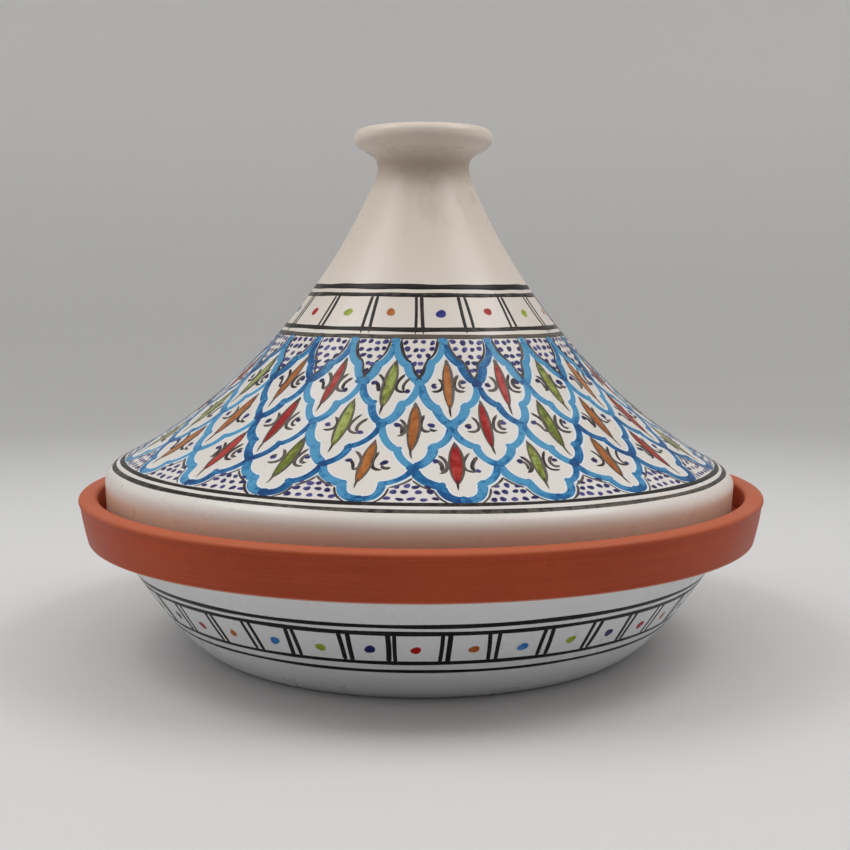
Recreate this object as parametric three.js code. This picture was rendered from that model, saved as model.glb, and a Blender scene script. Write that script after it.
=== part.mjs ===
// Tagine pot: a shallow flared dish with a thick upright collar, and a hollow conical lid
// with a cup-shaped knob. Millimetres, +Z up, origin at the centre of the dish's foot.
import * as THREE from 'three';

// Driving dimensions of the dish
const rimRadius = 150;
const rimHeight = 68.5;
const lipThickness = 8;
const lipRounding = 1.8;
const collarBottomRadius = 146.5;
const collarBottomHeight = 49.8;
const bowlTopRadius = 135.7;
const footRadius = 95.5;
const seatHeight = 58;
const seatOuterRadius = 140.8;
const seatInnerRadius = 129.5;
const floorThickness = 8;
const floorRadius = 88;

// Driving dimensions of the lid
const restGap = 0.3;
const lidHeight = 225;
const skirtRadius = 138;
const skirtWall = 7.4;
const shoulderHeight = 73;
const coneFootRadius = 129.5;
const coneFootHeight = 81.8;
const neckRadius = 20.3;
const neckHeight = 208.5;
const knobRadius = 30.5;
const knobWidestHeight = 220.4;
const knobCupRadius = 21;
const knobCupDepth = 7;
const domeTopHeight = 197;

// Facets round each revolved solid
const facets = 64;

const point = (radius, height) => new THREE.Vector2(radius, height);

// A smooth stretch of outline between two points, pulled towards two handles, without its first point
function sweep(start, startHandle, endHandle, end, steps) {
  return new THREE.CubicBezierCurve(start, startHandle, endHandle, end).getPoints(steps).slice(1);
}

// A solid of revolution about +Z from an outline that starts and ends on the axis
function turned(name, outline, material) {
  const geometry = new THREE.LatheGeometry(outline, facets);
  geometry.rotateX(Math.PI / 2);
  const mesh = new THREE.Mesh(geometry, material);
  mesh.name = name;
  return mesh;
}

// The dish's outline runs from the axis under the foot, up the outside, over the lip,
// down to the ledge that carries the lid, and back to the axis along the floor
function dishOutline() {
  const foot = point(footRadius, 0);
  const collarFoot = point(collarBottomRadius, collarBottomHeight);
  const bowlTop = point(bowlTopRadius, collarBottomHeight - 0.6);
  const collarTop = point(rimRadius - 0.7, rimHeight - 3.2);
  const lipOuter = point(rimRadius, rimHeight - lipRounding);
  const lipTopOuter = point(rimRadius - lipRounding, rimHeight);
  const lipTopInner = point(rimRadius - lipThickness + lipRounding, rimHeight);
  const lipInner = point(rimRadius - lipThickness, rimHeight - lipRounding);
  const seatOuter = point(seatOuterRadius, seatHeight);
  const seatInner = point(seatInnerRadius, seatHeight);
  const wallTop = point(seatInnerRadius - 1.7, seatHeight - 1.8);
  const floorEdge = point(floorRadius, floorThickness);
  return [
    point(0, 0),
    foot,
    ...sweep(foot, point(106.8, 4.6), point(121.5, 27.3), bowlTop, 10),
    collarFoot,
    collarTop,
    lipOuter,
    ...sweep(lipOuter, point(lipOuter.x, rimHeight - 0.8), point(lipTopOuter.x + 0.8, rimHeight), lipTopOuter, 3),
    lipTopInner,
    ...sweep(lipTopInner, point(lipTopInner.x - 0.8, rimHeight), point(lipInner.x, rimHeight - 0.8), lipInner, 3),
    seatOuter,
    seatInner,
    wallTop,
    ...sweep(wallTop, point(118, 34), point(104, floorThickness + 0.4), floorEdge, 8),
    point(0, floorThickness),
  ];
}

// The lid's outline runs from the axis inside the dome, down the inner wall, round the
// skirt's foot, up the outside to the knob, and into the knob's cup
function lidOutline() {
  const skirtFoot = seatHeight + restGap;
  const domeTop = point(neckRadius - 10.3, domeTopHeight - 4);
  const domeShoulder = point(coneFootRadius - 11, coneFootHeight - 4.5);
  const innerSkirt = point(skirtRadius - skirtWall, shoulderHeight - 4);
  const skirtTop = point(skirtRadius, shoulderHeight);
  const coneFoot = point(coneFootRadius, coneFootHeight);
  const coneTop = point(neckRadius + 2.4, neckHeight - 8.5);
  const neck = point(neckRadius, neckHeight);
  const knobUnder = point(knobRadius - 3, knobWidestHeight - 3.8);
  const knobSide = point(knobRadius, knobWidestHeight);
  const knobTop = point(knobRadius - 4.2, lidHeight);
  const cupEdge = point(knobCupRadius + 2, lidHeight);
  const cupFloor = point(knobCupRadius - 9, lidHeight - knobCupDepth);
  return [
    point(0, domeTopHeight),
    domeTop,
    ...sweep(domeTop, point(26, 161), point(61, 108), domeShoulder, 7),
    ...sweep(domeShoulder, point(124.5, 74), point(innerSkirt.x, 71.5), innerSkirt, 3),
    point(innerSkirt.x, skirtFoot + 0.8),
    point(innerSkirt.x + 0.8, skirtFoot),
    point(skirtRadius - 1.4, skirtFoot),
    point(skirtRadius - 0.6, skirtFoot + 0.8),
    skirtTop,
    ...sweep(skirtTop, point(skirtRadius, 77.5), point(134.6, 79.2), coneFoot, 5),
    ...sweep(coneFoot, point(71.1, 113.1), point(36.8, 167.7), coneTop, 9),
    ...sweep(coneTop, point(21, 204), point(neckRadius, 206), neck, 2),
    ...sweep(neck, point(neckRadius, 214.5), point(24.5, 213.2), knobUnder, 4),
    ...sweep(knobUnder, point(29.6, 217.8), point(knobRadius, 218.8), knobSide, 2),
    ...sweep(knobSide, point(knobRadius, 223.4), point(28.8, lidHeight), knobTop, 3),
    cupEdge,
    ...sweep(cupEdge, point(knobCupRadius, lidHeight), point(knobCupRadius - 2, cupFloor.y), cupFloor, 4),
    point(0, cupFloor.y),
  ];
}

const terracotta = new THREE.MeshStandardMaterial({ color: 0xb4532f, roughness: 0.85, metalness: 0 });
const creamGlaze = new THREE.MeshStandardMaterial({ color: 0xe6dccb, roughness: 0.2, metalness: 0 });

const group = new THREE.Group();
group.add(turned('dish', dishOutline(), terracotta));
group.add(turned('lid', lidOutline(), creamGlaze));

export default group;
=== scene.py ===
"""A hand-painted tagine pot: clay dish and conical lid, with their glaze coats and brush-painted decoration.

Outlines and painted decoration are in millimetres, and become metres where a mesh is made.
A place on a turned surface is (angle, down): the angle in radians round the axis from the front (-Y)
towards +X, and the distance in millimetres down the surface from where its painted part starts.
"""
import random
from math import cos, pi, radians, sin

import bmesh
import bpy
import numpy as np
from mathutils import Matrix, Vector


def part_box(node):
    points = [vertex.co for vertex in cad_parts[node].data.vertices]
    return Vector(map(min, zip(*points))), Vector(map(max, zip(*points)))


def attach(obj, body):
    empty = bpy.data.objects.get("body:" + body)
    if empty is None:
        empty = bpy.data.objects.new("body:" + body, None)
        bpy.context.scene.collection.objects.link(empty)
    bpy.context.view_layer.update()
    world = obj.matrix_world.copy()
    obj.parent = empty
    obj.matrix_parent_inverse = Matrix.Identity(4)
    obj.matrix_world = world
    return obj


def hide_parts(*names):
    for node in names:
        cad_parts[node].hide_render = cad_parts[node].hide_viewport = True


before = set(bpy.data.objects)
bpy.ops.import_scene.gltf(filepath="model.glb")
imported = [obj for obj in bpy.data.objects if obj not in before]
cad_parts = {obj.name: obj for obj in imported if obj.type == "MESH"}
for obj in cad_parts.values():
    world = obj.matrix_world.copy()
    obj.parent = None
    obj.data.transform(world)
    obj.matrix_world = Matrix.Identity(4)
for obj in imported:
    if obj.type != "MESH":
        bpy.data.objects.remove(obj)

scene = bpy.context.scene
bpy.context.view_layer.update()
MM = 0.001

# ---- sizes from the frame, in millimetres
dish_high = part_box("dish")[1] / MM
lid_low, lid_high = (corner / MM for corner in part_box("lid"))
RIM_RADIUS = dish_high.x
RIM_HEIGHT = dish_high.z
SKIRT_RADIUS = lid_high.x
SKIRT_FOOT = lid_low.z
LID_HEIGHT = lid_high.z

# The dish's outline
LIP_WIDTH = 8
LIP_ROUNDING = 1.8
COLLAR_TOP_INSET = 0.7
COLLAR_TOP_DROP = 3.2
COLLAR_FOOT_RADIUS = 146.5
COLLAR_FOOT = 49.8
COLLAR_UNDER = (COLLAR_FOOT_RADIUS - 0.8, COLLAR_FOOT - 0.06)
BOWL_TOP = (135.7, 49.2)
FOOT_RADIUS = 95.5
SEAT_HEIGHT = 58
SEAT_OUTER = 140.8
SEAT_INNER = 129.5
FLOOR_HEIGHT = 8
FLOOR_RADIUS = 88

# The lid's outline
SKIRT_WALL = 7.4
SKIRT_TOP = 73
CONE_FOOT = (129.5, 81.8)
CONE_TOP = (22.7, 200)
NECK = (20.3, 208.5)
KNOB_UNDER = (27.5, 216.6)
KNOB_SIDE = (30.5, 220.4)
KNOB_TOP_RADIUS = 26.3
CUP_EDGE_RADIUS = 23
CUP_FLOOR_RADIUS = 12
CUP_DEPTH = 7
DOME_TOP = 197

# Coats and irregularity
COAT = 0.35
COAT_SUNK = 0.15
ROUND_STEPS = 256
OUT_OF_ROUND = 0.3
LID_OFFSET = -0.7
LID_TILT = 0.012
TILT_FROM = 62
TILT_FULL = 80
TILT_END = 222

# The lid's decoration: how far down the cone its lines are, their half widths and how loaded the brush was
UPPER_LINES = ((50.1, 1.35, 0.9), (54.2, 1.05, 0.55), (71.4, 1.1, 0.65), (75.2, 1.15, 0.2))
LOWER_LINES = ((163.4, 1.05, 0.8), (167.2, 1.05, 0.45))
UPPER_BOXES = 17
UPPER_BOX_TURN = radians(8.8)

# The lattice: distances down the cone of its rows of knots, and how far each row is turned from the first
KNOT_ROWS = (78.0, 98.4, 120.2, 142.0, 160.8)
ROW_TURNS = (-0.5, -0.6, -1.1, -1.5, -1.1)
CELLS_ROUND = 22
STRAND_HALF = 2.15
STRAND_BLEED = 0.35
FRINGE = -1

# The bowl's decoration: distances down the bowl from the collar
BOWL_LINES = ((14.8, 1.1, 0.9), (18.7, 1.15, 0.9), (35.3, 1.05, 0.9), (40.4, 0.95, 0.85))
BOWL_BOXES = 40

hand = random.Random(11)


def wobble(amount):
    """A small difference, as between two strokes of the same hand."""
    return hand.uniform(-amount, amount)


def about(value, share):
    """A value that is off by up to a share of itself."""
    return value * (1 + wobble(share))


# ---- outlines
def curve(start, start_handle, end_handle, end, steps):
    """Points of a smooth stretch of outline, without its first point."""
    t = np.linspace(0, 1, steps + 1)[1:, None]
    shares = ((1 - t) ** 3, 3 * (1 - t) ** 2 * t, 3 * (1 - t) * t ** 2, t ** 3)
    return sum(share * np.array(p, float) for share, p in zip(shares, (start, start_handle, end_handle, end)))


def straight(start, end, steps):
    """Points of a straight stretch of outline, without its first point."""
    t = np.linspace(0, 1, steps + 1)[1:, None]
    return (1 - t) * np.array(start, float) + t * np.array(end, float)


def outline(*parts):
    return np.concatenate([np.atleast_2d(np.array(p, float)) for p in parts])


def drawn(start, *stretches):
    """An outline from a start through stretches: each its steps, two pulls if it curves, and its end."""
    points = [start]
    for steps, *places in stretches:
        shape = curve if len(places) == 3 else straight
        points.extend(shape(points[-1], *places, steps))
    return np.array(points, float)


def outward(points):
    """The unit normals of an outline that runs down a surface, pointing away from the clay."""
    along = np.gradient(points, axis=0)
    along /= np.linalg.norm(along, axis=1, keepdims=True)
    return np.stack([-along[:, 1], along[:, 0]], 1)


def run_along(points):
    """How far each point of an outline is from its start, along it."""
    return np.concatenate([[0], np.cumsum(np.linalg.norm(np.diff(points, axis=0), axis=1))])


def sunk(points, depth):
    """The outline moved into the clay by a depth, one for all points or one each."""
    moved = points - outward(points) * np.broadcast_to(depth, len(points))[:, None]
    moved[:, 0] = np.maximum(moved[:, 0], 0)
    return moved


def lid_knob_outline():
    cup_floor = LID_HEIGHT - CUP_DEPTH
    return drawn(
        (0, cup_floor),
        (6, (CUP_FLOOR_RADIUS, cup_floor)),
        (14, (19, cup_floor), (21, LID_HEIGHT), (CUP_EDGE_RADIUS, LID_HEIGHT)),
        (3, (KNOB_TOP_RADIUS, LID_HEIGHT)),
        (9, (28.8, LID_HEIGHT), (KNOB_SIDE[0], 223.4), KNOB_SIDE),
        (6, (KNOB_SIDE[0], 218.8), (29.6, 217.8), KNOB_UNDER),
        (12, (24.5, 213.8), (NECK[0], 214.5), NECK),
        (6, (NECK[0], 206), (21, 204), CONE_TOP),
    )


def lid_cone_outline():
    return drawn(
        CONE_TOP,
        (100, (36.8, 167.7), (71.1, 113.1), CONE_FOOT),
        (16, (134.6, 79.2), (SKIRT_RADIUS, 77.5), (SKIRT_RADIUS, SKIRT_TOP)),
        (8, (SKIRT_RADIUS - 0.6, SKIRT_FOOT + 0.8)),
    )


def ridged(points, height, pitch):
    """An inner wall with the ridges that fingers leave as the clay turns."""
    run = run_along(points)
    fade = np.minimum(1, np.minimum(run, run[-1] - run) / pitch)
    return sunk(points, height * fade * np.sin(2 * pi * run / pitch))


def lid_inside():
    inner = SKIRT_RADIUS - SKIRT_WALL
    dome = drawn(
        (inner, SKIRT_TOP - 4),
        (8, (inner, 71.5), (124.5, 74), (CONE_FOOT[0] - 11, CONE_FOOT[1] - 4.5)),
        (90, (61, 108), (26, 161), (10, DOME_TOP - 4)),
        (6, (8, DOME_TOP - 1.2), (4, DOME_TOP), (0, DOME_TOP)),
    )
    return outline(
        (SKIRT_RADIUS - 1.4, SKIRT_FOOT),
        (inner + 0.8, SKIRT_FOOT),
        (inner, SKIRT_FOOT + 0.8),
        ridged(dome, 0.22, 7.5),
    )


def dish_collar_outside():
    rim, top = RIM_RADIUS, RIM_HEIGHT
    corner = (COLLAR_FOOT_RADIUS, COLLAR_FOOT)
    return drawn(
        (rim - LIP_WIDTH / 2, top),
        (3, (rim - LIP_ROUNDING, top - 0.08)),
        (8, (rim - 0.7, top - 0.2), (rim, top - 0.9), (rim, top - LIP_ROUNDING)),
        (5, (rim, top - 2.6), (rim - 0.6, top - 2.7), (rim - COLLAR_TOP_INSET, top - COLLAR_TOP_DROP)),
        (14, (149.0, 61), (147.7, 55), (COLLAR_FOOT_RADIUS + 0.1, COLLAR_FOOT + 0.6)),
        (4, corner, corner, COLLAR_UNDER),
    )


def dish_bowl_outside():
    return drawn(COLLAR_UNDER, (6, BOWL_TOP), (60, (121.5, 27.3), (106.8, 4.6), (FOOT_RADIUS, 0)))[1:]


def dish_inner_wall():
    return drawn(
        (SEAT_INNER - 1.7, SEAT_HEIGHT - 1.8),
        (50, (118, 34), (104, FLOOR_HEIGHT + 0.4), (FLOOR_RADIUS, FLOOR_HEIGHT)),
        (50, (0, FLOOR_HEIGHT)),
    )


def dish_inner_collar():
    rim, top = RIM_RADIUS, RIM_HEIGHT
    lip, crest_edge = rim - LIP_WIDTH, rim - LIP_WIDTH + LIP_ROUNDING
    seat = (SEAT_OUTER, SEAT_HEIGHT)
    return drawn(
        (rim - LIP_WIDTH / 2, top),
        (3, (crest_edge, top - 0.05)),
        (8, (crest_edge - 0.9, top - 0.1), (lip, top - 0.8), (lip, top - LIP_ROUNDING)),
        (8, (SEAT_OUTER + 0.1, SEAT_HEIGHT + 1)),
        (4, seat, seat, (SEAT_OUTER - 0.9, SEAT_HEIGHT)),
        (5, (SEAT_INNER, SEAT_HEIGHT)),
    )[1:]


# ---- hand-thrown irregularity
def smooth_ramp(value, low, high):
    t = np.clip((value - low) / (high - low), 0, 1)
    return t * t * (3 - 2 * t)


def out_of_round(x, y, z, low, high, lobes, turn, lobes_turn):
    """x and y drawn in towards the axis, more one way than another, from one height up to a higher one."""
    angle = np.arctan2(x, -y)
    radius = np.hypot(x, y)
    strength = smooth_ramp(z, low, high) * np.minimum(radius / 60, 1)
    uneven = 1 + 0.6 * np.sin(2 * angle + turn) + 0.4 * np.sin(lobes * angle + lobes_turn)
    scale = 1 - OUT_OF_ROUND * strength * uneven / 2 / np.maximum(radius, 1)
    return x * scale, y * scale


def lid_hand(x, y, z):
    """The lid is a little out of round, sits a little to the left, and its cone leans to the right."""
    fade = np.clip((TILT_END - z) / (TILT_END - TILT_FULL), 0, 1)
    tilt = LID_TILT * smooth_ramp(z, TILT_FROM, TILT_FULL) * fade
    lean = LID_TILT * np.maximum(z - TILT_FROM, 0)
    round_x, round_y = out_of_round(x, y, z, SKIRT_FOOT, TILT_FULL, 3, 0.7, 2.1)
    return round_x + LID_OFFSET + lean, round_y, z - x * tilt


def dish_hand(x, y, z):
    """The dish is a little out of round above its foot."""
    return *out_of_round(x, y, z, 4, 40, 4, 2.9, 0.4), z


class Skin:
    """A turned surface that paint lies on, from an outline that runs down it."""

    def __init__(self, points, hand_shape):
        self.down = run_along(points)
        self.points = points
        self.normals = outward(points)
        self.hand_shape = hand_shape

    def radius(self, down):
        return np.interp(down, self.down, self.points[:, 0])

    def place(self, angle, down, lift):
        """Points over the surface, in metres. lift is in millimetres."""
        radius, height = (np.interp(down, self.down, self.points[:, i])
                          + np.interp(down, self.down, self.normals[:, i]) * lift for i in (0, 1))
        x, y, z = self.hand_shape(radius * np.sin(angle), -radius * np.cos(angle), height)
        return np.stack([x, y, z], -1) * MM

    def shifted(self, path, step, distance):
        """(angle, down) points moved in millimetres to the right of their way, which goes along step."""
        radius = self.radius(path[:, 1])
        along = np.stack([step[:, 0] * radius, step[:, 1]], 1)
        along /= np.maximum(np.linalg.norm(along, axis=1), 1e-9)[:, None]
        angle, down = path[:, 0] - along[:, 1] * distance / radius, path[:, 1] + along[:, 0] * distance
        return np.stack([angle, down], 1)


cone_skin = Skin(lid_cone_outline(), lid_hand)
bowl_skin = Skin(dish_bowl_outside()[5:], dish_hand)


# ---- meshes
def ring_faces(rings, around, first=0, closed=False):
    """Faces between rings of vertices, each joined to the next, and if closed the last to the first."""
    faces = []
    for ring in range(rings if closed else rings - 1):
        here, there = first + ring * around, first + (ring + 1) % rings * around
        for k in range(around):
            after = (k + 1) % around
            faces.append((here + k, here + after, there + after, there + k))
    return faces


def placed(name, data):
    made = bpy.data.objects.new(name, data)
    scene.collection.objects.link(made)
    return made


def new_piece(name, vertices, faces, material, sharp_angle=50):
    mesh = bpy.data.meshes.new(name)
    mesh.from_pydata(vertices, [], faces)
    shape = bmesh.new()
    shape.from_mesh(mesh)
    bmesh.ops.recalc_face_normals(shape, faces=shape.faces)
    shape.to_mesh(mesh)
    shape.free()
    mesh.shade_smooth()
    mesh.set_sharp_from_angle(angle=radians(sharp_angle))
    mesh.materials.append(material)
    return placed(name, mesh)


def turned(name, points, hand_shape, material):
    """A closed solid of revolution: its outline starts and ends on the axis, or closes on itself."""
    touches_axis = points[0, 0] < 1e-6
    ring = points[1:-1] if touches_axis else points
    angle = np.linspace(0, 2 * pi, ROUND_STEPS, endpoint=False)
    x = ring[:, :1] * np.sin(angle)
    y = -ring[:, :1] * np.cos(angle)
    z = np.repeat(ring[:, 1:], ROUND_STEPS, 1)
    vertices = np.stack(hand_shape(x, y, z), -1).reshape(-1, 3)
    faces = ring_faces(len(ring), ROUND_STEPS, closed=not touches_axis)
    if touches_axis:
        ends = np.array([(0, 0, points[0, 1]), (0, 0, points[-1, 1])])
        first, last = len(vertices), len(vertices) + 1
        vertices = np.concatenate([vertices, ends])
        bottom = (len(ring) - 1) * ROUND_STEPS
        for k in range(ROUND_STEPS):
            after = (k + 1) % ROUND_STEPS
            faces.append((first, after, k))
            faces.append((last, bottom + k, bottom + after))
    return new_piece(name, vertices * MM, faces, material)


def coat_loop(points):
    """A coat's outline, closed or from axis to axis: its outer face, and its back, sunk into the clay."""
    back = sunk(points, COAT + COAT_SUNK)[::-1]
    if points[0, 0] > 1e-6:
        return outline(points, back[::2], back[-1])
    back[-1] = (0, points[0, 1] - COAT - COAT_SUNK)
    return outline(points, back)


def bare_under(points, first_edge, last_edge):
    """The clay's outline under a coat: at the surface at its ends, and a coat's thickness down between."""
    run = run_along(points)
    depth = COAT * smooth_ramp(run, 0, first_edge) * smooth_ramp(run[-1] - run, 0, last_edge)
    return sunk(points, depth)


# ---- paint
# A stroke's section, as (across, up) shares of its half width and height, and where its round end is sampled
CROWN = ((-1.0, -0.05), (-0.62, 0.75), (0.0, 1.0), (0.62, 0.75), (1.0, -0.05))
END_STEPS = (0.0, 0.06, 0.22, 0.5, 0.8)
# How far each mark's streaks are shifted from those of the mark before, so that no two look alike
BRUSH_SHIFT = 7.3


def taper(t, start, end, least=0.1):
    """Half widths, as a share, of a mark that swells over a share of its length and thins over another."""
    rise = np.sqrt(np.clip(t / max(start, 1e-3), 0, 1))
    fall = np.sqrt(np.clip((1 - t) / max(end, 1e-3), 0, 1))
    return np.maximum(least, rise * fall)


class Paint:
    """Brush marks of one colour on one surface: each is a thin closed body a little proud of the glaze."""

    def __init__(self, skin):
        self.skin = skin
        self.vertices, self.faces = [], []
        self.values = {"brush": [], "pool": [], "load": []}
        self.marks = 0
        self.total = 0

    def _add(self, vertices, faces, **values):
        self.vertices.append(vertices)
        self.faces.extend(tuple(self.total + i for i in face) for face in faces)
        for key, value in values.items():
            self.values[key].append(value)
        self.marks += 1
        self.total += len(vertices)

    def _lift(self, lift):
        """Each mark lies a little higher or lower than the one before, so that no two share a face."""
        return lift + 0.004 * (self.marks % 7)

    def stroke(self, path, half, lift=0.07, load=0.5, start=0.0, end=0.0):
        """A round-ended mark along (angle, down) points.

        half is its half width in millimetres and load how much paint it carries, at each point or throughout;
        start and end are the shares of its length over which it swells and thins.
        """
        path = np.array(path, float)
        count = len(path)
        steps = np.diff(path, axis=0) * np.stack([self.skin.radius(path[1:, 1]), np.ones(count - 1)], 1)
        run = np.concatenate([[0], np.cumsum(np.linalg.norm(steps, axis=1))])
        length = run[-1]
        share = run / length
        half = np.broadcast_to(half, count) * taper(share, start, end)
        load = np.broadcast_to(load, count).astype(float)
        first, last = (min(h, 0.45 * length) for h in (half[0], half[-1]))
        middle = np.linspace(first, length - last, max(4, int(length / 0.9)))
        ends = np.array(END_STEPS)
        places = np.concatenate([first * ends, middle, length - last * ends[::-1]])
        from_end = np.clip(np.minimum(places / max(first, 1e-6), (length - places) / max(last, 1e-6)), 0, 1)
        rounding = np.maximum(0.06, np.sqrt(1 - (1 - from_end) ** 2))
        dense = np.stack([np.interp(places, run, path[:, axis]) for axis in (0, 1)], 1)
        self._sweep(dense, np.interp(places, run, half) * rounding, places,
                    self._lift(lift) * np.minimum(1, rounding * 1.2), np.interp(places, run, load), False)

    def ring(self, down, half, load):
        """A line banded round the turning pot, thinner and more watery in places."""
        angle = np.linspace(0, 2 * pi, 320, endpoint=False)
        phase = [wobble(3) for _ in range(4)]
        down = down + 0.12 * np.sin(3 * angle + phase[0]) + 0.07 * np.sin(11 * angle + phase[1])
        width = half * (1 + 0.09 * np.sin(5 * angle + phase[2]) + 0.07 * np.sin(17 * angle + phase[3]))
        wet = load + 0.14 * np.sin(2 * angle + phase[1]) + 0.1 * np.sin(7 * angle + phase[0])
        run = angle * self.skin.radius(down)
        self._sweep(np.stack([angle, down], 1), width, run, self._lift(0.125), wet, True)

    def _sweep(self, path, half, run, lift, load, closed):
        count, sections = len(path), len(CROWN)
        if closed:
            step = np.roll(path, -1, 0) - np.roll(path, 1, 0)
            step[:, 0] = (step[:, 0] + pi) % (2 * pi) - pi
        else:
            step = np.gradient(path, axis=0)
        vertices = np.zeros((count, sections, 3))
        brush = np.zeros((count, sections, 3))
        pool = np.zeros((count, sections))
        for i, (across, rise) in enumerate(CROWN):
            vertices[:, i] = self.skin.place(*self.skin.shifted(path, step, across * half).T, rise * lift)
            brush[:, i] = np.stack([run, across * half, np.full(count, self.marks * BRUSH_SHIFT)], 1)
            pool[:, i] = abs(across)
        faces = ring_faces(count, sections, closed=closed)
        if not closed:
            pool[0] = pool[-1] = 1
            faces.append(tuple(range(sections)))
            faces.append(tuple(range((count - 1) * sections, count * sections)))
        self._add(vertices.reshape(-1, 3), faces, brush=brush.reshape(-1, 3), pool=pool.ravel(),
                  load=np.repeat(load, sections))

    def dab(self, angle, down, wide, tall, turn=0.0, lift=0.08, load=0.5):
        """A small uneven dome. wide and tall are its half sizes in millimetres."""
        points = 14
        radius = float(self.skin.radius(down))
        around = np.linspace(0, 2 * pi, points, endpoint=False)
        uneven = 1 + 0.09 * np.sin(2 * around + wobble(3)) + 0.06 * np.sin(3 * around + wobble(3))
        rings = ((0.5, 0.96), (0.8, 0.7), (1.0, -0.1))
        lift = self._lift(lift)
        vertices = [self.skin.place(np.array([angle]), np.array([down]), lift)]
        pool, brush = [np.zeros(1)], [np.array([[0, 0, self.marks * BRUSH_SHIFT]])]
        for share, rise in rings:
            a = wide * share * uneven * np.cos(around)
            b = tall * share * uneven * np.sin(around)
            right, below = a * cos(turn) - b * sin(turn), a * sin(turn) + b * cos(turn)
            vertices.append(self.skin.place(angle + right / radius, down + below, rise * lift))
            pool.append(np.full(points, share))
            brush.append(np.stack([a, b, np.full(points, self.marks * BRUSH_SHIFT)], 1))
        total = 1 + points * len(rings)
        faces = [(0, 1 + k, 1 + (k + 1) % points) for k in range(points)]
        faces += ring_faces(len(rings), points, first=1)
        faces.append(tuple(range(total - points, total)))
        vertices, brush, pool = (np.concatenate(values) for values in (vertices, brush, pool))
        self._add(vertices, faces, brush=brush, pool=pool, load=np.full(total, load))

    def piece(self, name, material, body, slot):
        made = new_piece(name, np.concatenate(self.vertices), self.faces, material, sharp_angle=60)
        for key, values in self.values.items():
            kind, field = ("FLOAT_VECTOR", "vector") if key == "brush" else ("FLOAT", "value")
            layer = made.data.attributes.new(key, kind, "POINT")
            layer.data.foreach_set(field, np.concatenate(values).astype(np.float32).ravel())
        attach(made, body)


# ---- materials
class Shader:
    """A short way to wire a Principled material's nodes."""

    def __init__(self, name):
        self.material = bpy.data.materials.new(name)
        self.material.use_nodes = True
        self.tree = self.material.node_tree
        self.tree.nodes.clear()
        out = self.node("OutputMaterial")
        self.surface = self.node("BsdfPrincipled")
        self.link(self.surface.outputs[0], out.inputs["Surface"])

    def link(self, value, socket):
        if isinstance(value, bpy.types.NodeSocket):
            self.tree.links.new(value, socket)
        elif isinstance(value, (tuple, list)):
            socket.default_value = (*value, 1) if len(value) == 3 and socket.type == "RGBA" else value
        else:
            socket.default_value = value

    def node(self, kind, **inputs):
        made = self.tree.nodes.new("ShaderNode" + kind)
        for key, value in inputs.items():
            self.link(value, made.inputs[key])
        return made

    def place(self, scale=(1, 1, 1), vector=None):
        """Object coordinates, or another vector, stretched by a scale along each axis."""
        if vector is None:
            vector = self.node("TexCoord").outputs["Object"]
        return self.node("Mapping", Vector=vector, Scale=scale).outputs[0]

    def height_up(self):
        return self.node("SeparateXYZ", Vector=self.place()).outputs["Z"]

    def times(self, first, second):
        return self.maths("MULTIPLY", first, second)

    def attribute(self, name, output="Fac"):
        made = self.node("Attribute")
        made.attribute_name = name
        return made.outputs[output]

    def noise(self, vector, scale, detail=3, roughness=0.55, distortion=0.0):
        made = self.node("TexNoise", Vector=vector, Scale=scale, Detail=detail,
                         Roughness=roughness, Distortion=distortion)
        return made.outputs["Fac"]

    def cells(self, vector, scale):
        return self.node("TexVoronoi", Vector=vector, Scale=scale).outputs["Distance"]

    def ramp(self, fac, start, middle, middle_place, end):
        made = self.node("ValToRGB", Fac=fac)
        stops = made.color_ramp.elements
        stops[0].color, stops[1].color = (*start, 1), (*end, 1)
        stops.new(middle_place).color = (*middle, 1)
        return made.outputs["Color"]

    def band(self, fac, low, high, low_value=0.0, high_value=1.0):
        """A value that goes smoothly from one level to another as fac goes from low to high."""
        made = self.node("MapRange")
        made.interpolation_type = "SMOOTHSTEP"
        for index, value in enumerate((fac, low, high, low_value, high_value)):
            self.link(value, made.inputs[index])
        return made.outputs[0]

    def mix(self, fac, first, second, blend="MIX"):
        made = self.node("Mix")
        made.data_type = "RGBA"
        made.blend_type = blend
        self.link(fac, made.inputs[0])
        self.link(first, made.inputs[6])
        self.link(second, made.inputs[7])
        return made.outputs[2]

    def maths(self, operation, first, second=0.5):
        made = self.node("Math")
        made.operation = operation
        self.link(first, made.inputs[0])
        self.link(second, made.inputs[1])
        return made.outputs[0]

    def bump(self, height, distance, strength=1.0):
        made = self.node("Bump", Height=height, Distance=distance, Strength=strength)
        return made.outputs[0]

    def finish(self, **inputs):
        for key, value in inputs.items():
            self.link(value, self.surface.inputs[key.replace("_", " ")])
        return self.material


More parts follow.
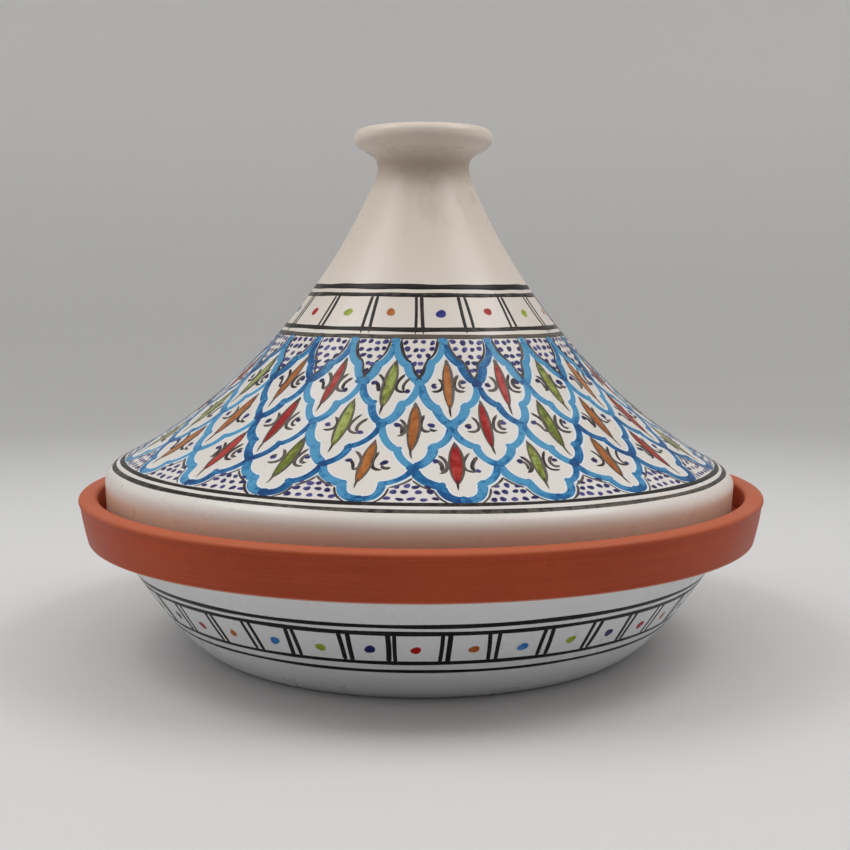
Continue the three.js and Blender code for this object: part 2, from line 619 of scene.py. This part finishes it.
def glaze_material(name, thin, thick, speck, neck=None, foot=None):
    """Opaque satin glaze: cloudy in tone, a little wavy, with a few specks.

    neck is its warmer colour where it is thin, on the knob and upper neck; foot is a painted reflection of
    the terracotta collar, low on the skirt.
    """
    s = Shader(name)
    cloud = s.noise(s.place(), 14, 4)
    rings = s.noise(s.place((9, 9, 260)), 1, 3)
    tone = s.mix(s.band(cloud, 0.35, 0.65), thin, thick)
    tone = s.mix(s.band(rings, 0.45, 0.75, 0, 0.25), tone, thin)
    if neck:
        height_up = s.height_up()
        tone = s.mix(s.band(height_up, 0.11, 0.185, 0, 0.85), tone, neck)
        runs = s.band(s.noise(s.place((130, 130, 5)), 1, 2), 0.5, 0.68, 0, 0.3)
        runs = s.times(runs, s.band(height_up, 0.168, 0.205))
        runs = s.times(runs, s.band(height_up, 0.21, 0.217, 1, 0.15))
        # Painted shade: the crease under the knob is darkened brown, as if shaded by the knob; the runs are
        # brown streaks in the glaze itself.
        under_knob_shadow = s.times(s.band(height_up, 0.196, 0.209), s.band(height_up, 0.209, 0.2165, 1, 0))
        runs_and_knob_shadow = s.maths("MAXIMUM", runs, s.times(under_knob_shadow, 0.6))
        tone = s.mix(runs_and_knob_shadow, tone, (0.44, 0.32, 0.24))
        # Painted reflection: low on the skirt, next to the collar, the glaze is tinted with the terracotta's
        # warm glow.
        tone = s.mix(s.band(height_up, (RIM_HEIGHT - 1) * MM, (RIM_HEIGHT + 10) * MM, 0.9, 0), tone, foot)
    specks = s.cells(s.place(), 85)
    tone = s.mix(s.band(specks, 0.035, 0.06, 0.35, 0), tone, speck)
    waves = s.noise(s.place((1, 1, 1.6)), 55, 2)
    rough = s.band(s.noise(s.place(), 40, 3), 0.3, 0.7, 0.26, 0.36)
    return s.finish(Base_Color=tone, Roughness=rough, Normal=s.bump(waves, 0.0002, 0.5), IOR=1.42)


def clay_material():
    """Bare fired terracotta: turning lines, sandy grain, pale specks, small pits and a paler lip top."""
    s = Shader("terracotta")
    cloud = s.noise(s.place(), 16, 5, 0.6)
    lines = s.noise(s.place((14, 14, 900)), 1, 4, 0.6)
    grain = s.noise(s.place(), 900, 2)
    height_up = s.height_up()
    tone = s.mix(s.band(cloud, 0.3, 0.7), (0.36, 0.045, 0.011), (0.45, 0.066, 0.017))
    tone = s.mix(s.band(lines, 0.4, 0.72, 0, 0.35), tone, (0.53, 0.098, 0.03))
    tone = s.mix(s.band(grain, 0.35, 0.75, 0, 0.25), tone, (0.27, 0.034, 0.009))
    # The lip is paler from a little below the rim up to its top.
    paler_lip_top = s.band(height_up, (RIM_HEIGHT - 2.2) * MM, (RIM_HEIGHT - 0.5) * MM, 0, 0.75)
    tone = s.mix(paler_lip_top, tone, (0.5, 0.125, 0.055))
    pale = s.cells(s.place((1, 1, 0.7)), 120)
    tone = s.mix(s.band(pale, 0.03, 0.055, 0.4, 0), tone, (0.55, 0.2, 0.1))
    edge = s.band(height_up, (COLLAR_FOOT + 0.35) * MM, (COLLAR_FOOT + 0.7) * MM, 0.7, 0)
    above = s.band(height_up, (COLLAR_FOOT - 1) * MM, (COLLAR_FOOT - 0.5) * MM)
    tone = s.mix(s.times(edge, above), tone, (0.62, 0.33, 0.24))
    pits = s.band(s.cells(s.place((1, 1, 1.5)), 160), 0.05, 0.16)
    height = s.maths("ADD", s.times(lines, 0.5), s.times(pits, 0.35))
    height = s.maths("ADD", height, s.times(grain, 0.25))
    rough = s.band(cloud, 0.3, 0.7, 0.42, 0.54)
    return s.finish(Base_Color=tone, Roughness=rough, Normal=s.bump(height, 0.00015, 0.8), IOR=1.3)


def honey_glaze_material():
    """Clear glossy glaze over terracotta, darker where it pools."""
    s = Shader("honey_glaze")
    cloud = s.noise(s.place(), 18, 4)
    rings = s.noise(s.place((6, 6, 40)), 1, 4)
    tone = s.mix(s.band(cloud, 0.3, 0.7), (0.19, 0.045, 0.016), (0.32, 0.088, 0.03))
    tone = s.mix(s.band(rings, 0.45, 0.7, 0, 0.4), tone, (0.12, 0.03, 0.012))
    specks = s.cells(s.place(), 150)
    tone = s.mix(s.band(specks, 0.04, 0.08, 0.7, 0), tone, (0.05, 0.014, 0.008))
    waves = s.noise(s.place(), 60, 2)
    rough = s.band(s.noise(s.place(), 30, 3), 0.3, 0.7, 0.08, 0.18)
    return s.finish(Base_Color=tone, Roughness=rough, Normal=s.bump(waves, 0.0003, 0.5), IOR=1.5)


def paint_material(name, full, middle, thin, streak=0.5, edge=None, edge_from=0.45,
                   bleed=None, bleed_from=0.8, fringe=None):
    """Glaze paint laid by brush: streaks along each mark, watery and loaded places, and edges of their own.

    edge is the colour towards a mark's outline, bleed the colour of the glaze that the outline runs into, and
    fringe the colour of marks that are only the bleeding.
    """
    s = Shader(name + "_paint")
    brush = s.attribute("brush", "Vector")
    streaks = s.noise(s.place((0.16, 1.5, 1), brush), 1.0, 3)
    blots = s.noise(s.place((0.3, 0.42, 1), brush), 1.0, 3, 0.6)
    load = s.attribute("load")
    pool = s.attribute("pool")
    amount = s.maths("ADD", s.times(streaks, streak), s.times(blots, 2.6 - 2 * streak))
    amount = s.maths("ADD", amount, load)
    middle_amount = 1.38 - 0.5 * streak
    tone = s.ramp(s.band(amount, middle_amount, middle_amount + 1), thin, middle, 0.45, full)
    ragged = s.maths("ADD", pool, s.times(s.maths("SUBTRACT", streaks, 0.5), 0.22))
    if edge:
        tone = s.mix(s.band(ragged, edge_from, 0.95), tone, edge)
    if bleed:
        tone = s.mix(s.band(ragged, bleed_from, 1.0, 0, 0.9), tone, bleed)
    if fringe:
        tone = s.mix(s.band(load, FRINGE, FRINGE / 2), fringe, tone)
    rough = s.band(blots, 0.3, 0.7, 0.26, 0.36)
    height = s.times(streaks, 0.5)
    return s.finish(Base_Color=tone, Roughness=rough, Normal=s.bump(height, 0.00006, 0.5), IOR=1.33,
                    Specular_IOR_Level=0.3)


CREAM = (0.73, 0.68, 0.63)
CREAM_PALE = (0.76, 0.715, 0.67)
CREAM_WARM = (0.73, 0.625, 0.525)
HALO = (0.72, 0.76, 0.79)
WHITE = (0.74, 0.75, 0.765)
BROWN_EDGE = (0.1, 0.05, 0.025)

# foot is a painted reflection of the terracotta collar, low on the lid's skirt.
cream_glaze = glaze_material("cream_glaze", CREAM, CREAM_PALE, (0.5, 0.38, 0.27),
                             neck=CREAM_WARM, foot=(0.76, 0.5, 0.36))
white_glaze = glaze_material("white_glaze", WHITE, (0.765, 0.775, 0.79), (0.55, 0.5, 0.44))
terracotta = clay_material()
honey_glaze = honey_glaze_material()
turquoise = paint_material(
    "turquoise", (0.004, 0.046, 0.175), (0.013, 0.14, 0.34), (0.08, 0.31, 0.53), 0.6,
    edge=(0.008, 0.08, 0.22), edge_from=0.72, fringe=HALO)
lid_black = paint_material("lid_black", (0.01, 0.009, 0.008), (0.022, 0.018, 0.016), (0.115, 0.095, 0.078))
lid_brown = paint_material("outline", (0.016, 0.012, 0.011), (0.04, 0.031, 0.028), (0.13, 0.105, 0.09))
bowl_black = paint_material("bowl_black", (0.005, 0.005, 0.006), (0.01, 0.01, 0.011), (0.03, 0.029, 0.029))
cobalt = paint_material(
    "cobalt", (0.011, 0.01, 0.06), (0.026, 0.024, 0.13), (0.09, 0.085, 0.28), bleed=(0.36, 0.34, 0.48),
    bleed_from=0.72)
navy = paint_material(
    "navy", (0.006, 0.006, 0.06), (0.012, 0.012, 0.11), (0.04, 0.04, 0.22), bleed=WHITE, bleed_from=0.9)
red = paint_material(
    "red", (0.24, 0.007, 0.007), (0.34, 0.014, 0.013), (0.47, 0.06, 0.05), edge=(0.17, 0.02, 0.015))
orange = paint_material(
    "orange", (0.26, 0.07, 0.013), (0.42, 0.135, 0.03), (0.5, 0.2, 0.065), edge=BROWN_EDGE)
green = paint_material(
    "green", (0.075, 0.095, 0.012), (0.175, 0.21, 0.025), (0.38, 0.44, 0.12), edge=(0.075, 0.085, 0.02))
dot_red = paint_material(
    "red_dot", (0.36, 0.004, 0.004), (0.43, 0.007, 0.007), (0.48, 0.02, 0.018), bleed=(0.62, 0.42, 0.36),
    bleed_from=0.85)
dot_orange = paint_material(
    "orange_dot", (0.34, 0.07, 0.01), (0.44, 0.12, 0.022), (0.52, 0.2, 0.06), bleed=(0.66, 0.5, 0.38),
    bleed_from=0.75)
dot_green = paint_material(
    "green_dot", (0.22, 0.28, 0.01), (0.34, 0.42, 0.035), (0.48, 0.54, 0.15), bleed=(0.6, 0.61, 0.42),
    bleed_from=0.75)
dot_blue = paint_material(
    "blue_dot", (0.01, 0.014, 0.14), (0.025, 0.032, 0.24), (0.09, 0.11, 0.38), bleed=(0.5, 0.5, 0.58),
    bleed_from=0.85)
sky = paint_material(
    "sky_dot", (0.015, 0.1, 0.36), (0.03, 0.17, 0.5), (0.11, 0.32, 0.64), bleed=(0.5, 0.62, 0.7),
    bleed_from=0.8)


# ---- clay and glaze
def fit(body, *pieces):
    """Puts pieces on a body; the slot given with each piece is not used."""
    for piece, slot in pieces:
        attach(piece, body)


def make_dish():
    bowl = dish_bowl_outside()
    inner_wall = dish_inner_wall()
    foot = straight((FOOT_RADIUS, 0), (0, 0), 8)
    top_to_foot = outline(dish_collar_outside(), bare_under(bowl, 3, 3), foot)
    inside = outline(dish_inner_collar(), bare_under(inner_wall, 3, 1e-3)[:-1], (0, FLOOR_HEIGHT - COAT))
    clay = turned("dish_clay", outline(top_to_foot[::-1], inside), dish_hand, terracotta)
    bowl_coat = turned("dish_bowl_glaze", coat_loop(bowl[2:-1]), dish_hand, white_glaze)
    back = inner_wall + outward(inner_wall) * (COAT + COAT_SUNK)
    back[-1] = (0, FLOOR_HEIGHT - COAT - COAT_SUNK)
    inside_coat = turned("dish_inside_glaze", outline(inner_wall[::-1], back[1:]), dish_hand, honey_glaze)
    fit("dish", (clay, "terracotta"), (bowl_coat, "white_glaze"), (inside_coat, "clear_glaze"))
    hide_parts("dish")


def make_lid():
    outside = outline(lid_knob_outline()[:-1], lid_cone_outline())
    inside = lid_inside()
    clay_outside = bare_under(outside, 1e-3, 2)
    clay_outside[0] = (0, outside[0, 1] - COAT)
    clay = turned("lid_clay", outline(clay_outside, inside), lid_hand, terracotta)
    coat = turned("lid_glaze", coat_loop(outside), lid_hand, cream_glaze)
    fit("lid", (clay, "terracotta"), (coat, "cream_glaze"))
    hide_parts("lid")


make_dish()
make_lid()


# ---- the lid's lattice
def turn_angle(row, turns):
    """The angle of a place on a row of knots, counted in cells from the front."""
    first = np.interp(row, range(len(ROW_TURNS)), ROW_TURNS)
    return 2 * pi * turns / CELLS_ROUND + radians(float(first))


knots = {}


def knot(row, turns):
    """Where the strands of a row of knots cross, a little off true: (turns, down)."""
    key = (row, round(turns * 2) % (2 * CELLS_ROUND))
    if key not in knots:
        edge_row = row in (0, len(KNOT_ROWS) - 1)
        knots[key] = (wobble(0.035), KNOT_ROWS[row] + wobble(0.3 if edge_row else 0.9))
    shift, down = knots[key]
    return turns + shift, down


def strand_arcs(row, cell, side):
    """The two arcs of the strand that goes down from a cell's corner to its foot, as (angle, down) points."""
    centre = cell + (0.5 if row % 2 else 0)
    corner = knot(row, centre + side * 0.5)
    foot = knot(row + 1, centre)
    cusp = (0.44 + wobble(0.045), 0.56 + wobble(0.05))
    upper = ((1, 0), (0.94 + wobble(0.03), 0.27 + wobble(0.04)), (cusp[0] + 0.27, cusp[1] - 0.06), cusp)
    if row == len(KNOT_ROWS) - 2:
        lower = (cusp, (cusp[0] - 0.03, 0.82 + wobble(0.03)), (0.3, 1.0), (0, 1.0))
    else:
        lower = (cusp, (cusp[0] - 0.03, 0.74 + wobble(0.03)), (0.27 + wobble(0.03), 0.9), (0, 1))
    arcs = []
    for handles in (upper, lower):
        points = outline(handles[0], curve(*handles, 45))
        start, end = turn_angle(row, corner[0]), turn_angle(row + 1, foot[0])
        angle = end + (start - end) * points[:, 0]
        down = corner[1] + (foot[1] - corner[1]) * points[:, 1]
        arcs.append(np.stack([angle, down], 1))
    return arcs


def moved_across(path, distance):
    """A path on the cone moved to the right of its way, by a distance in millimetres."""
    return cone_skin.shifted(path, np.gradient(path, axis=0), distance)


strands = {}


def paint_lattice():
    """Four rows of strands, each mark with the watery fringe that it bleeds into the glaze."""
    paint = Paint(cone_skin)

    def mark(path, half, load):
        paint.stroke(path, half + STRAND_BLEED, lift=0.035, load=FRINGE)
        paint.stroke(path, half, lift=0.08, load=load)

    def pool(place, wide, tall, load):
        paint.dab(*place, wide + STRAND_BLEED, tall + STRAND_BLEED, lift=0.035, load=FRINGE)
        paint.dab(*place, wide, tall, lift=0.085, load=load)

    for row in range(len(KNOT_ROWS) - 1):
        for cell in range(CELLS_ROUND):
            for side in (-1, 1):
                arcs = strand_arcs(row, cell, side)
                strands[row, cell, side] = arcs
                tone = 0.3 + wobble(0.36)
                width = about(STRAND_HALF, 0.14)
                for part, arc in enumerate(arcs):
                    t = np.linspace(0, 1, len(arc))
                    near_knot = (1 - t) if part == 0 else t
                    load = tone + 0.4 * near_knot ** 3 + wobble(0.08)
                    mark(arc, width * (1 - 0.1 * np.sin(pi * t)), load)
                pool(arcs[0][-1], width * 0.98, width * 0.98, tone)
                if side == 1:
                    pool(arcs[1][-1], width * 1.25, width * 1.1, tone + 0.35)
    for cell in range(CELLS_ROUND):
        turns, down = knot(0, cell + 0.5)
        angle = turn_angle(0, turns)
        top = UPPER_LINES[3][0]
        stem = [(angle, top - 0.8), (angle + wobble(0.004), down), (angle + wobble(0.006), down + 5)]
        mark(stem, STRAND_HALF * (1.15 + wobble(0.1)), 0.4 + wobble(0.3))
        paint.dab(angle, top + 0.4, STRAND_HALF * 1.15, 1.4, lift=0.085, load=0.4 + wobble(0.3))
    paint.piece("lid_lattice_strokes", turquoise, "lid", "turquoise_paint")


def paint_outlines():
    """Thin dark lines inside the pendants above the lattice and under its lowest scallops."""
    paint = Paint(cone_skin)
    top_line = UPPER_LINES[3][0]
    for cell in range(CELLS_ROUND):
        for side in (-1, 1):
            upper, lower = strands[0, cell, side]
            inset = side * (STRAND_HALF + 0.05 + wobble(0.2))
            inner = outline(*(moved_across(part, inset) for part in (upper[3:], lower[5:-9])))
            above = [(inner[0, 0], top_line + 0.4 + wobble(0.4))]
            tip = [(inner[-1, 0] - side * 0.018 + wobble(0.006), inner[-1, 1] + 2.0 + wobble(0.5))]
            line = np.concatenate([above, inner, tip])
            t = np.linspace(0, 1, len(line))
            width = about(0.58, 0.2) * (1 + 0.25 * np.sin(7 * t + wobble(3)))
            paint.stroke(line, width, lift=0.11, load=0.55 + wobble(0.2), start=0.05, end=0.1)
            upper, lower = strands[len(KNOT_ROWS) - 2, cell, side]
            outset = -side * (STRAND_HALF + 0.55 + wobble(0.2))
            shoulder = moved_across(upper, outset)
            shoulder = shoulder[(upper[0, 0] - shoulder[:, 0]) * side > -0.002][:-5]
            lobe = moved_across(lower[5:34], outset)
            for line, end in ((shoulder, 0.15), (lobe, 0.3)):
                width = about(0.52, 0.25)
                paint.stroke(line, width, lift=0.1, load=0.35 + wobble(0.25), start=0.1, end=end)
    paint.piece("lid_scallop_outlines", lid_brown, "lid", "black_paint")


def strand_angle(row, cell, side, down):
    """The angle of the strand on one side of a cell at a distance down the cone."""
    path = np.concatenate(strands[row, cell, side])
    order = np.argsort(path[:, 1])
    return float(np.interp(down, path[order, 1], path[order, 0]))


def fill_with_dots(paint, left, right, down, pitch, margin, size, turn):
    """A row of dabs between two strands, evenly spread with small slips of the hand."""
    radius = float(cone_skin.radius(down))
    room = (right - left) * radius - 2 * (STRAND_HALF + margin)
    if room < 0:
        return
    count = int(room / pitch + 0.6) + 1
    for across in np.linspace(-room / 2, room / 2, count) if count > 1 else (0,):
        angle = (left + right) / 2 + (across + wobble(0.4)) / radius
        paint.dab(angle, down + wobble(0.45), *(about(half, 0.18) for half in size), turn + wobble(0.5),
                  load=0.55 + wobble(0.3))


def paint_pendant_dots():
    """Cobalt dots that fill the pendants above the lattice."""
    paint = Paint(cone_skin)
    for cell in range(CELLS_ROUND):
        for line in range(6):
            down = UPPER_LINES[3][0] + 2.7 + line * 3.6
            left, right = (strand_angle(0, cell, side, down) for side in (-1, 1))
            fill_with_dots(paint, left, right, down, 3.7, 1.9 if line < 4 else 1.1, (1.4, 1.2), -0.5)
    paint.piece("lid_pendant_dots", cobalt, "lid", "cobalt_paint")


def paint_fringe_dots():
    """Rows of cobalt dabs in the triangles between the lowest scallops and the border line."""
    paint = Paint(cone_skin)
    row = len(KNOT_ROWS) - 2
    for cell in range(CELLS_ROUND):
        after = (cell + 1) % CELLS_ROUND
        for down, level in ((160.4, 159.6), (156.5, 157.2), (153.3, 154.8)):
            left = strand_angle(row, cell, 1, level)
            right = strand_angle(row, after, -1, level) + (2 * pi if after == 0 else 0)
            fill_with_dots(paint, left, right, down, 4.1, 3.1, (1.5, 1.25), -0.15)
    paint.piece("lid_fringe_dots", cobalt, "lid", "cobalt_paint")


# ---- leaves and curls in the cells
# Curls on each side of a leaf, in millimetres right of and below its middle: a long curl that hugs the leaf
# and a short one beside it, each as a start, two pulls and an end, then its cobalt dot's place and half size
RIGHT_CURLS = (
    (((5.4, -5.0), (1.3, -0.6), (1.0, 5.8), (7.6, 4.6)),
     ((8.2, -2.8), (5.4, -0.4), (4.8, 2.6), (6.4, 4.3)), (7.4, 4.2), 1.05),
    (((5.3, -4.9), (1.7, -0.6), (1.4, 5.6), (7.4, 4.3)),
     ((7.2, -2.2), (4.0, -1.4), (4.4, 3.8), (7.8, 2.4)), (7.0, -0.5), 1.15),
    (((3.9, -5.2), (1.5, -1.0), (2.2, 4.8), (6.6, 3.4)),
     ((6.0, 1.6), (6.4, 3.2), (7.6, 3.4), (9.0, 2.8)), (6.5, 0.2), 1.45),
)
LEFT_CURLS = (
    (((-4.4, -3.9), (-1.3, -1.2), (-2.0, 4.9), (-7.6, 3.4)),
     ((-7.6, 0.8), (-6.8, 0.4), (-6.0, 0.2), (-5.4, -0.4)), (-6.4, 1.0), 1.2),
    (((-5.6, -3.6), (-1.6, -0.8), (-2.2, 4.6), (-6.0, 5.2)),
     ((-6.4, -1.0), (-4.4, -0.8), (-4.2, 2.2), (-5.2, 4.2)), (-6.4, -0.7), 1.25),
    (((-5.2, -5.2), (-1.0, -2.6), (-1.0, 5.0), (-4.6, 4.2)),
     ((-6.6, -0.4), (-4.6, -0.2), (-4.4, 3.2), (-4.0, 4.6)), (-6.6, -0.4), 1.2),
)
ROW_SIZES = {1: 0.94, 2: 1.0, 3: 1.06}


class Cell:
    """A cell of the lattice. Places in it are (right, below) of its middle, in millimetres."""

    def __init__(self, row, number):
        self.row = row
        turns = number + (0.5 if row % 2 else 0)
        self.top = knot(row - 1, turns)[1]
        self.foot = knot(row + 1, turns)[1]
        self.down = (self.top + self.foot) / 2
        self.angle = float(turn_angle(row, turns)) + wobble(0.008)
        self.tall = self.foot - self.top
        signed = number if number < CELLS_ROUND / 2 else number - CELLS_ROUND
        self.colour = (signed + (1 if row == 3 else 0)) % 3
        self.size = ROW_SIZES[row]

    def path(self, points):
        """Points in the cell as (angle, down)."""
        points = np.array(points, float)
        down = self.down + points[:, 1]
        return np.stack([self.angle + points[:, 0] / cone_skin.radius(down), down], 1)

    def sweep(self, points, steps=14, origin=(0, 0)):
        """A curve in the cell from a start, two pulls and an end, each counted from an origin."""
        points = np.array(points, float) + origin
        return self.path(outline(points[0], curve(*points, steps)))


def paint_leaf(cell, leaf, outlines):
    slant = -0.08 + wobble(0.04)
    top = -cell.tall * (0.275 + wobble(0.02))
    foot = cell.tall * (0.305 + wobble(0.02))
    belly = (2.42 + wobble(0.35)) * cell.size
    bow = wobble(0.5)
    start, end = (slant * top, top), (slant * foot, foot)
    pulls = [(slant * below * 0.3 + bow, below * 0.3) for below in (top, foot)]
    spine = cell.sweep((start, *pulls, end), 22)
    t = np.linspace(0, 1, len(spine))
    half = belly * np.sin(pi * np.clip(t * 0.97 + 0.02, 0, 1)) ** 0.75
    leaf.stroke(spine, half, lift=0.06, load=0.42 + 0.3 * np.abs(2 * t - 1) ** 2 + wobble(0.2))
    heavy = 1 if hand.random() < 0.6 else -1
    for side in (-1, 1):
        edge = moved_across(spine, -side * 0.95 * half)[1:-1]
        boldness = about(0.56 if side == heavy else 0.32, 0.3)
        if cell.colour == 2 and side == heavy:
            boldness *= 1.3
        outlines.stroke(edge, boldness, lift=0.11, load=0.15 + wobble(0.25), start=0.2, end=0.2)
    tail_length = about(0.085 * cell.tall, 0.3)
    tail = ((-slant * 3.5, -3.5), (0, -1), (wobble(0.4), tail_length * 0.5), (wobble(0.9), tail_length))
    tail = cell.sweep(tail, 8, end)
    outlines.stroke(tail, 0.55, lift=0.12, load=0.5 + wobble(0.2), start=0.4, end=0.5)
    tip = cell.sweep(((slant * 3.4, 3.4), (slant * 2, 2), (0, 1), (wobble(0.3), -0.5)), 6, start)
    outlines.stroke(tip, about(0.8, 0.3), lift=0.12, load=0.2 + wobble(0.25), start=0.4, end=0.3)


def paint_curls(cell, curls, dots):
    """A long curl, a short curl and a cobalt dot on each side of a leaf."""
    for shapes in (RIGHT_CURLS, LEFT_CURLS):
        long_curl, short_curl, dot, dot_size = hand.choice(shapes)
        size = about(cell.size, 0.07)
        slip = (wobble(0.35), wobble(0.5))
        for shape, half in ((long_curl, 0.68), (short_curl, 0.74)):
            points = [(x * size + slip[0] + wobble(0.3), y * size + slip[1] + wobble(0.3)) for x, y in shape]
            load = 0.45 + wobble(0.3)
            curls.stroke(cell.sweep(points), about(half, 0.18), lift=0.1, load=load, start=0.1, end=0.12)
        spot = cell.path([(dot[0] * size + slip[0], dot[1] * size + slip[1])])[0]
        wide, tall = (about(share * dot_size, 0.15) for share in (1.15, 1))
        dots.dab(*spot, wide, tall, wobble(0.8), lift=0.13, load=0.65 + wobble(0.3))


def paint_cells():
    leaves = [Paint(cone_skin) for _ in range(3)]
    outlines, curls, dots = Paint(cone_skin), Paint(cone_skin), Paint(cone_skin)
    for row in ROW_SIZES:
        for number in range(CELLS_ROUND):
            cell = Cell(row, number)
            paint_leaf(cell, leaves[cell.colour], outlines)
            paint_curls(cell, curls, dots)
    for paint, name, material in zip(leaves, ("orange", "red", "green"), (orange, red, green)):
        paint.piece(f"lid_leaves_{name}", material, "lid", f"{name}_paint")
    outlines.piece("lid_leaf_outlines", lid_brown, "lid", "black_paint")
    curls.piece("lid_curls", lid_brown, "lid", "black_paint")
    dots.piece("lid_curl_dots", cobalt, "lid", "cobalt_paint")


# ---- borders of boxes and dots
def divider(paint, angle, top, foot, gap, half, overrun):
    """Two strokes side by side between two boxes of a border, that run a little past its lower line."""
    turn = wobble(0.6)
    middle = float(paint.skin.radius((top + foot) / 2))
    t = np.linspace(-1, 1, 10)
    for side in (-1, 1):
        offset = side * (gap / 2 + wobble(0.14 * gap))
        lean = turn + wobble(0.4)
        across = offset + lean * t + wobble(0.35) * (1 - t * t)
        start, end = top - 0.9 + wobble(0.5), foot + about(overrun, 0.8)
        path = np.stack([angle + across / middle, start + (end - start) * (t + 1) / 2], 1)
        paint.stroke(path, about(half, 0.15), lift=0.09, load=0.8 + wobble(0.2), end=0.12)


DOT_PAINTS = {"red": (dot_red, "red_paint"), "orange": (dot_orange, "orange_paint"),
              "green": (dot_green, "green_paint"), "blue": (dot_blue, "cobalt_paint"),
              "sky": (sky, "turquoise_paint"), "navy": (navy, "cobalt_paint")}
BODY_SKINS = {"lid": (cone_skin, lid_black), "dish": (bowl_skin, bowl_black)}


def banded(skin, rings):
    lines = Paint(skin)
    for line in rings:
        lines.ring(*line)
    return lines


def paint_border(body, prefixes, rings, boxes, first, strokes, colours, drop, slip, size):
    """Four rings, and between the middle two a row of boxes, each with a dot of its own colour in the middle.

    first is where the row starts, strokes the gap, half width and overrun of the dividers, drop and slip how
    far the dots are below and beside the middle, and size their half width and height.
    """
    skin, black = BODY_SKINS[body]
    lines = banded(skin, rings)
    top, foot = rings[1][0], rings[2][0]
    dots = {}
    for box in range(boxes):
        centre = 2 * pi * box / boxes + first
        divider(lines, centre - pi / boxes + wobble(slip), top, foot, *strokes)
        colour = colours[(box if box < boxes / 2 else box - boxes) % len(colours)]
        paint = dots.setdefault(colour, Paint(skin))
        paint.dab(centre + wobble(slip), (top + foot) / 2 + drop + wobble(0.6),
                  *(about(half, 0.13) for half in size), 0.25 + wobble(0.4), load=0.7 + wobble(0.25))
    lines.piece(f"{prefixes[0]}_lines", black, body, "black_paint")
    for name, paint in dots.items():
        material, slot = DOT_PAINTS[name]
        paint.piece(f"{prefixes[1]}_dots_{name}", material, body, slot)


paint_lattice()
paint_outlines()
paint_pendant_dots()
paint_fringe_dots()
paint_cells()
paint_border("lid", ("lid_upper_border", "lid_border"), UPPER_LINES, UPPER_BOXES, UPPER_BOX_TURN,
             (2.4, 0.7, 1.6), ("blue", "red", "green", "orange"), 0.2, 0.025, (2.0, 1.9))
banded(cone_skin, LOWER_LINES).piece("lid_lower_lines", lid_black, "lid", "black_paint")
paint_border("dish", ("bowl_border", "bowl_border"), BOWL_LINES, BOWL_BOXES, 0, (3.0, 0.9, 0.4),
             ("red", "orange", "sky", "green", "navy"), 1.0, 0.014, (2.1, 2.2))


# ---- stage, lights and camera
def make_stage():
    """A pale studio sweep, round so that it serves every view: floor, curve and wall."""
    floor_radius, bend, wall_top, steps = 0.85, 0.55, 2.4, 96
    bend_points = [(floor_radius + bend * sin(a), bend * (1 - cos(a)))
                   for a in np.linspace(0, pi / 2, 24)]
    profile = [(0.3, 0)] + bend_points + [(floor_radius + bend, wall_top)]
    turns = [2 * pi * k / steps for k in range(steps)]
    vertices = [(0, 0, 0)] + [(radius * sin(a), -radius * cos(a), z) for radius, z in profile for a in turns]
    faces = [(0, 1 + (k + 1) % steps, 1 + k) for k in range(steps)] + ring_faces(len(profile), steps, first=1)
    s = Shader("studio_paper")
    paper = s.noise(s.place(), 3, 2)
    spot = s.node("SeparateXYZ", Vector=s.place()).outputs
    away = s.node("VectorMath", Vector=s.place((1, 1, 0.5)))
    away.operation = "LENGTH"
    reach = away.outputs["Value"]
    pale = s.mix(paper, (0.665, 0.662, 0.66), (0.69, 0.687, 0.685))
    # Painted light: the paper is made darker further from the pot and paler up the wall, to grade how bright
    # the sweep looks.
    tone = s.mix(s.band(reach, 0.3, 0.95), pale, (0.57, 0.567, 0.56))
    tone = s.mix(s.band(spot["Z"], 0, 0.6), tone, (0.86, 0.855, 0.845))
    # Painted shade: towards the front the paper is made nearly black, standing in for the unlit open front of
    # the tent, which the pot reflects.
    tone = s.mix(s.band(spot["Y"], -0.9, -0.4, 0.45, 0), tone, (0.1, 0.1, 0.1))
    stage = new_piece("studio_sweep", vertices, faces, s.finish(Base_Color=tone, Roughness=0.9))


def soft_light(name, place, target, width, depth, power, spread=180):
    """A panel of light. spread is the angle that its grid lets light fan out over."""
    data = bpy.data.lights.new(name, "AREA")
    data.shape = "RECTANGLE"
    data.size, data.size_y = width, depth
    data.energy = power
    data.spread = radians(spread)
    lamp = placed(name, data)
    lamp.location = place
    lamp.rotation_euler = (Vector(target) - Vector(place)).to_track_quat("-Z", "Y").to_euler()


def make_lights():
    """A light tent: panels overhead in front, at both sides, and above both sides."""
    soft_light("overhead_panel", (0, -0.3, 1.6), (0, -0.1, 0), 1.2, 0.6, 2.5)
    soft_light("high_front_panel", (0, -0.95, 1.35), (0, 0, 0.1), 1.6, 0.5, 1.0)
    soft_light("left_panel", (-1.05, 0.05, 0.65), (0, 0, 0.3), 1.2, 1.0, 0.7, 110)
    soft_light("right_panel", (1.05, 0.05, 0.65), (0, 0, 0.3), 1.2, 1.0, 0.36, 110)
    soft_light("high_left_panel", (-0.85, -0.1, 1.35), (0, 0, 0), 0.9, 0.6, 2.25, 110)
    soft_light("high_right_panel", (0.85, -0.1, 1.35), (0, 0, 0), 0.9, 0.6, 2.5, 110)
    world = bpy.data.worlds.new("studio")
    world.use_nodes = True
    background = world.node_tree.nodes["Background"]
    background.inputs["Color"].default_value = (1.0, 0.995, 0.985, 1)
    background.inputs["Strength"].default_value = 0.64
    scene.world = world


def make_camera():
    data = bpy.data.cameras.new("camera")
    data.sensor_width = 36
    data.lens = 52.3
    camera = placed("camera", data)
    camera.location = (0.0018, -0.5535, 0.1565)
    camera.rotation_euler = (radians(90 - 6.39), 0, 0)
    scene.camera = camera


make_stage()
make_lights()
make_camera()
scene.view_settings.view_transform = "Standard"
